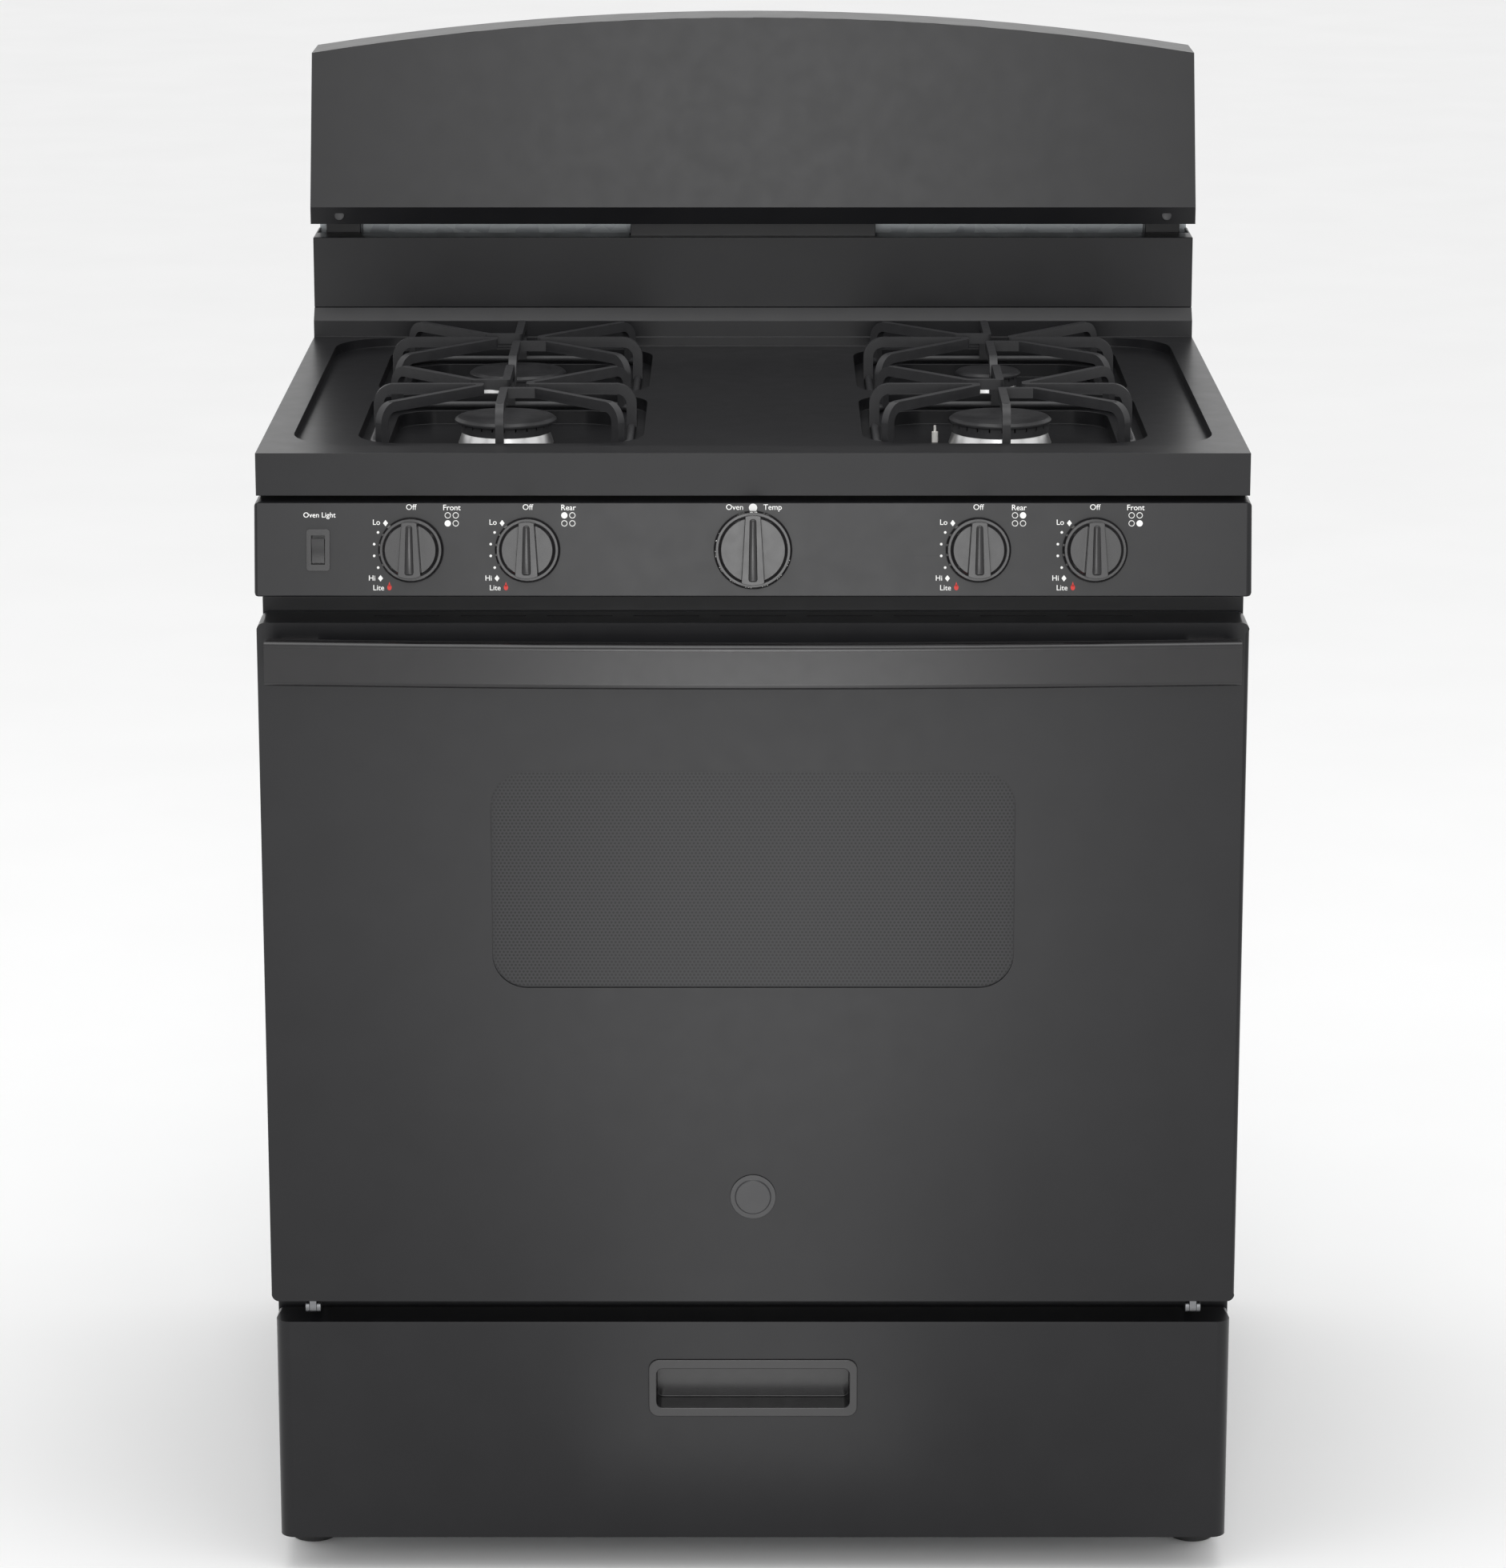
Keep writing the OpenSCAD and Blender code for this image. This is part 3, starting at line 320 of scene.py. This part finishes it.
def braided_gasket():
    f = Finish("braided_gasket", "#2a2a2a", 0.85)
    wave = f.node("ShaderNodeTexWave", Vector=f.place(), Scale=1 / (16 * MM), Distortion=1.0)
    f.bump(wave.outputs["Fac"], 0.4, 0.8)
    f.colour(f.blend(wave.outputs["Fac"], "#222222", "#3a3a3a"))
    return f.material


def printed_ink(name, colour):
    f = Finish(name, colour, 0.5)
    f.rough(f.between(f.noise(2), 0.45, 0.6))
    return f.material


ENAMEL = porcelain_enamel()
FINISHES = {
    "black_enamel": ENAMEL,
    "galvanised": galvanised_steel(),
    "grey_enamel": speckled_enamel(),
    "fibre": glass_fibre(),
    "bare_steel": drawn_steel("cold_rolled_steel", "#77787a", 0.36),
    "glass_bulb": clear_glass(),
    "cast_aluminium": cast_aluminium(),
    "matte_enamel": matte_enamel(),
    "ceramic": moulded_plastic("glazed_ceramic", "#e6e5e0", "#efeeea", 0.25),
    "brass": drawn_steel("turned_brass", "#c9a55a", 0.28),
    "black_plastic": moulded_plastic("black_thermoset", "#131214", "#1a191a", 0.24),
    "white_plastic": moulded_plastic("white_nylon", "#dddcd8", "#e8e7e3", 0.45),
    "window_glass": screened_glass(),
    "clear_glass": clear_glass(),
    "gasket": braided_gasket(),
    "chrome_wire": drawn_steel("bright_nickel_wire", "#cfd0d2", 0.2),
    "badge": moulded_plastic("grey_disc", "#1d1d1f", "#242426", 0.3),
    "foot": moulded_plastic("moulded_foot", "#1c1c1c", "#242424", 0.6),
}
HEAD = cast_head()
WHITE_INK = printed_ink("white_print", "#e9e9e7")
RED_INK = printed_ink("red_print", "#c8281e")
slot_of = {s["node"]: s["material_slot"] for s in frame["record"]["subparts"]}


OWN_FINISH = {"burner_heads": HEAD, "oven_flue": ENAMEL}


def finish_of(node):
    return OWN_FINISH.get(node) or FINISHES[slot_of[node]]


def paint_frame():
    for name, piece in nodes.items():
        piece.data.materials.clear()
        piece.data.materials.append(finish_of(name))


# ---- pieces ----

SAME_POINT = 1e-5       # the CAD's loose triangles are merged within this
FLAT = math.radians(0.5)
THIN_RIM = 3.5 * MM     # a face narrower than this is the cut edge of a sheet

def only(piece):
    bpy.ops.object.select_all(action="DESELECT")
    piece.select_set(True)
    bpy.context.view_layer.objects.active = piece


def apply_all(piece):
    only(piece)
    for modifier in list(piece.modifiers):
        bpy.ops.object.modifier_apply(modifier=modifier.name)


def mark_outer_edges(mesh, least_turn):
    """Weights the convex edges between two broad faces, and leaves a sheet's thin rims out."""
    breadth = []
    for face in mesh.polygons:
        corners = [mesh.vertices[i].co for i in face.vertices]
        around = sum((a - b).length for a, b in zip(corners, corners[1:] + corners[:1]))
        breadth.append(2 * face.area / around)
    sides = {}
    for face in mesh.polygons:
        for key in face.edge_keys:
            sides.setdefault(key, []).append(face)
    weights = mesh.attributes.new("bevel_weight_edge", "FLOAT", "EDGE")
    for edge in mesh.edges:
        faces = sides.get(edge.key, [])
        if len(faces) != 2 or min(breadth[f.index] for f in faces) < THIN_RIM:
            continue
        one, other = faces
        convex = (other.center - one.center).dot(one.normal) < 0
        if convex and one.normal.angle(other.normal, 0) > least_turn:
            weights.data[edge.index].value = 1.0


def rounded_copy(node, radius_mm, segments=3, angle=35):
    """The CAD node with its sharp edges rounded, standing for it."""
    source = nodes[node]
    piece = source.copy()
    piece.data = source.data.copy()
    piece.name = node + "_shell"
    piece.parent = None
    bpy.context.scene.collection.objects.link(piece)
    piece.matrix_world = Matrix.Identity(4)
    piece.hide_render = False
    only(piece)
    bpy.ops.object.mode_set(mode="EDIT")
    bpy.ops.mesh.select_all(action="SELECT")
    bpy.ops.mesh.remove_doubles(threshold=SAME_POINT)
    bpy.ops.mesh.dissolve_limited(angle_limit=FLAT)
    bpy.ops.object.mode_set(mode="OBJECT")
    bevel = piece.modifiers.new("edges", "BEVEL")
    bevel.width = radius_mm * MM
    bevel.segments = segments
    if node in SHEETS:
        mark_outer_edges(piece.data, math.radians(angle))
        bevel.limit_method = "WEIGHT"
        bevel.use_clamp_overlap = False
    else:
        bevel.limit_method = "ANGLE"
        bevel.angle_limit = math.radians(angle)
    apply_all(piece)
    bpy.ops.object.shade_smooth_by_angle(angle=math.radians(angle))
    weighted = piece.modifiers.new("faces", "WEIGHTED_NORMAL")
    weighted.keep_sharp = True
    weighted.weight = 100
    apply_all(piece)
    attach(piece, body_of_node[node])
    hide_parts(node)
    return piece


# pressed sheets, rounded only where two broad faces meet, and every rounded node's radius in mm
SHEETS = ("door_outer_panel", "drawer_front", "control_panel", "backguard_front")
ROUNDED = {
    "door_outer_panel": 3.4, "drawer_front": 3.2, "control_panel": 3.0, "backguard_front": 2.6,
    "backguard_shell": 0.8, "lower_back_panel": 0.9, "cooktop": 1.9, "side_panels": 0.7,
    "front_frame": 0.5, "door_handle": 1.0, "door_badge": 0.4, "drawer_pull": 0.7,
    "switch_bezel": 0.6, "oven_light_rocker": 0.6, "burner_bases": 0.5, "oven_flue": 0.5,
    "levelling_legs": 0.6, "hinge_receivers": 0.4, "oven_rack_lower": 0.2, "oven_rack_upper": 0.2,
}
for name in nodes:
    if name.startswith("knob_"):
        ROUNDED[name] = 1.0
    if name.startswith("cap_"):
        ROUNDED[name] = 0.5
    if name.startswith("grate_"):
        ROUNDED[name] = 1.3


# ---- print on the control panel ----

AXLE = joints["turn_oven"]
PANEL_UP = Vector((0, AXLE["axis"][2], -AXLE["axis"][1]))
PANEL_OUT = Vector(AXLE["axis"])


def panel_place(x, y, lift=0.12):
    """A turned frame on the panel's face, x and y in mm from the oven knob's axle."""
    at = Vector(AXLE["pos_m"]) + Vector((x * MM, 0, 0)) + PANEL_UP * y * MM + PANEL_OUT * lift * MM
    turned = Matrix((Vector((1, 0, 0)), PANEL_UP, PANEL_OUT)).transposed().to_4x4()
    return Matrix.Translation(at) @ turned


def settle(piece, place):
    """Bakes a place into a mesh made round the origin."""
    piece.matrix_world = place
    only(piece)
    bpy.ops.object.transform_apply(location=True, rotation=True, scale=True)
    return piece


def word(text, height_mm, place, align="CENTER"):
    bpy.ops.object.text_add()
    piece = bpy.context.object
    piece.data.body = text
    piece.data.align_x = align
    piece.data.align_y = "CENTER"
    piece.data.size = height_mm * MM * 1.38
    piece.data.extrude = 0.00004
    piece.data.offset = height_mm * 0.000006
    piece.data.resolution_u = 4
    bpy.ops.object.convert(target="MESH")
    return settle(bpy.context.object, place)


def spot(radius_mm, place, sides=20, stretch=1.0):
    bpy.ops.mesh.primitive_cylinder_add(vertices=sides, radius=radius_mm * MM, depth=0.00008)
    piece = bpy.context.object
    piece.scale = (1, stretch, 1)
    bpy.ops.object.transform_apply(scale=True)
    return settle(piece, place)


def ring(radius_mm, place):
    bpy.ops.mesh.primitive_torus_add(
        major_radius=radius_mm * MM, minor_radius=0.00028, major_segments=20, minor_segments=4
    )
    return settle(bpy.context.object, place)


def join(pieces, name, ink, body="root"):
    only(pieces[0])
    for piece in pieces:
        piece.select_set(True)
    bpy.ops.object.join()
    piece = bpy.context.object
    piece.name = name
    piece.data.materials.clear()
    piece.data.materials.append(ink)
    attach(piece, body)
    return piece


def burner_legend(x, which, filled):
    """Off, Lo to Hi with four dots, Lite, and the burner's name and its place on the cooktop."""
    marks = [word("Off", 4.4, panel_place(x, 32.5))]
    marks.append(word("Lo", 4.2, panel_place(x - 26.5, 21)))
    marks.append(spot(1.9, panel_place(x - 19.5, 20.5), 4, 1.3))
    for angle in (152, 171, 189, 208):
        a = math.radians(angle)
        marks.append(spot(1.0, panel_place(x + 28.6 * math.cos(a), 28.6 * math.sin(a)), 12))
    marks.append(word("Hi", 4.2, panel_place(x - 30, -21.6)))
    marks.append(spot(1.9, panel_place(x - 23.5, -21.6), 4, 1.3))
    marks.append(word("Lite", 4.2, panel_place(x - 25, -29)))
    marks.append(word(which, 4.4, panel_place(x + 31, 32.2)))
    for row in (0, 1):
        for col in (0, 1):
            at = panel_place(x + 28 + 6.1 * col, 26.4 - 6.1 * row)
            marks.append(spot(2.4, at) if (col, row) == filled else ring(2.1, at))
    return marks


def add_panel_print():
    white = []
    red = []
    legends = (("turn_left_front", "Front", (0, 1)), ("turn_left_rear", "Rear", (0, 0)),
               ("turn_right_rear", "Rear", (1, 0)), ("turn_right_front", "Front", (1, 1)))
    for joint, which, filled in legends:
        x = joints[joint]["pos_m"][0] / MM
        white += burner_legend(x, which, filled)
        red.append(spot(1.7, panel_place(x - 16.7, -28.6), 14, 1.3))
        red.append(spot(1.3, panel_place(x - 16.7, -26.6), 3, 1.9))
    white.append(word("Oven", 4.4, panel_place(-14, 32.5)))
    white.append(word("Temp", 4.4, panel_place(15, 32.5)))
    rocker_x = joints["light_rocker"]["pos_m"][0] / MM
    white.append(word("Oven Light", 4.0, panel_place(rocker_x + 1, 26.5)))
    join(white, "panel_legends", WHITE_INK)
    join(red, "panel_flames", RED_INK)


def add_skirt_numbers():
    """Temperatures round the oven knob's skirt with dots between them, and Off at its top."""
    radius = 27.4       # mm
    lift = 7.35         # mm, the skirt's face above the panel
    first = 110         # degrees clockwise from Off
    pitch = 25.7

    def round_the_skirt(turn):
        a = math.radians(90 - turn)
        spin = Matrix.Rotation(math.radians(-turn), 4, "Z")
        return panel_place(radius * math.cos(a), radius * math.sin(a), lift) @ spin

    marks = [word("Off", 3.3, round_the_skirt(0))]
    for i, text in enumerate(("200", "250", "300", "350", "400", "450", "500", "Broil")):
        marks.append(word(text, 2.7, round_the_skirt(first + i * pitch)))
        if text != "Broil":
            marks.append(spot(0.35, round_the_skirt(first + (i + 0.5) * pitch), 8))
    join(marks, "oven_knob_numbers", WHITE_INK, "knob_oven")
    join([spot(3.2, panel_place(0, 32.2))], "oven_knob_mark", WHITE_INK)


def add_knob_ridges():
    """The narrow rounded ridge that runs down the middle of each grip."""
    ridge_w, ridge_h, taper, end_gap = 0.0072, 0.005, 0.72, 0.006
    for name in ("left_front", "left_rear", "right_rear", "right_front", "oven"):
        low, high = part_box("knob_" + name)
        reach = (float(high[0]) - float(low[0])) / 2 - end_gap
        bpy.ops.mesh.primitive_cube_add(size=1)
        piece = bpy.context.object
        piece.scale = (ridge_w, 2 * reach, ridge_h)
        bpy.ops.object.transform_apply(scale=True)
        for vertex in piece.data.vertices:
            if vertex.co.y > 0:
                vertex.co.x *= taper
        bevel = piece.modifiers.new("round", "BEVEL")
        bevel.width = 0.0022
        bevel.segments = 4
        apply_all(piece)
        bpy.ops.object.shade_smooth_by_angle(angle=math.radians(50))
        settle(piece, panel_place(joints["turn_" + name]["pos_m"][0] / MM, 0, 26.2))
        join([piece], "grip_ridge_" + name, FINISHES["black_plastic"], "knob_" + name)


def add_screws():
    """Pan head screws in the backguard's lower corners."""
    low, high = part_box("backguard_front")
    for side in (-1, 1):
        bpy.ops.mesh.primitive_cylinder_add(vertices=32, radius=0.0042, depth=0.0024)
        piece = bpy.context.object
        bpy.ops.object.mode_set(mode="EDIT")
        bpy.ops.mesh.select_all(action="SELECT")
        bpy.ops.mesh.bevel(offset=0.0007, segments=2, affect="EDGES")
        bpy.ops.object.mode_set(mode="OBJECT")
        at = Vector((side * 0.356, float(low[1]) + 0.0021, float(low[2]) + 0.0075))
        settle(piece, Matrix.Translation(at) @ Matrix.Rotation(math.radians(75), 4, "X"))
        bpy.ops.object.shade_smooth_by_angle(angle=math.radians(40))
        join([piece], "backguard_screw_" + ("left" if side < 0 else "right"),
             FINISHES["matte_enamel"])


paint_frame()
add_camera()
add_studio()
for name, radius in ROUNDED.items():
    rounded_copy(name, radius)
add_panel_print()
add_skirt_numbers()
add_knob_ridges()
add_screws()
